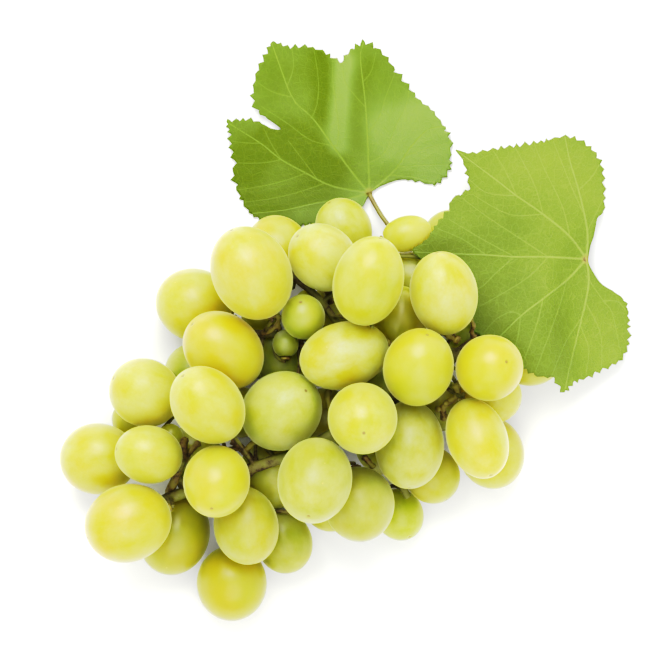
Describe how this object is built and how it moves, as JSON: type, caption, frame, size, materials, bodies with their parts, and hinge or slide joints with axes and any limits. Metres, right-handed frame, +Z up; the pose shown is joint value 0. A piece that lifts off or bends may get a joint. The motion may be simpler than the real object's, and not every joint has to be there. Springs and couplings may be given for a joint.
{
  "type": "bunch of grapes",
  "caption": "Bunch of oval pale green grapes lying on its side, on a branched stem with two lobed leaves.",
  "frame": {"origin": "middle of the bounding box, on the surface the bunch lies on", "axes": "+Z up out of that surface, +Y towards the upper leaf, +X towards the right leaf, with the bunch's tail towards -X and -Y"},
  "size_m": [0.1804, 0.1834, 0.0594],
  "materials": {
    "stem": "matte",
    "leaf_upper": "satin",
    "leaf_right": "matte",
    "berry": "satin"
  },
  "bodies": {
    "root": {"stem": "stem", "leaf_upper": "leaf_upper", "leaf_right": "leaf_right", "berry_01": "berry", "berry_02": "berry", "berry_03": "berry", "berry_04": "berry", "berry_05": "berry", "berry_06": "berry", "berry_07": "berry", "berry_08": "berry", "berry_09": "berry", "berry_10": "berry", "berry_11": "berry", "berry_12": "berry", "berry_13": "berry", "berry_14": "berry", "berry_15": "berry", "berry_16": "berry", "berry_17": "berry", "berry_18": "berry", "berry_19": "berry", "berry_20": "berry", "berry_21": "berry", "berry_22": "berry", "berry_23": "berry", "berry_24": "berry", "berry_25": "berry", "berry_26": "berry", "berry_27": "berry", "berry_28": "berry", "berry_29": "berry", "berry_30": "berry", "berry_31": "berry", "berry_32": "berry", "berry_33": "berry", "berry_34": "berry", "berry_35": "berry", "berry_36": "berry", "berry_37": "berry", "berry_38": "berry", "berry_39": "berry", "berry_40": "berry", "berry_41": "berry", "berry_42": "berry", "berry_43": "berry", "berry_44": "berry", "berry_45": "berry", "berry_46": "berry", "berry_47": "berry", "berry_48": "berry", "berry_49": "berry", "berry_50": "berry", "berry_51": "berry", "berry_52": "berry", "berry_53": "berry", "berry_54": "berry", "berry_55": "berry"}
  },
  "joints": []
}
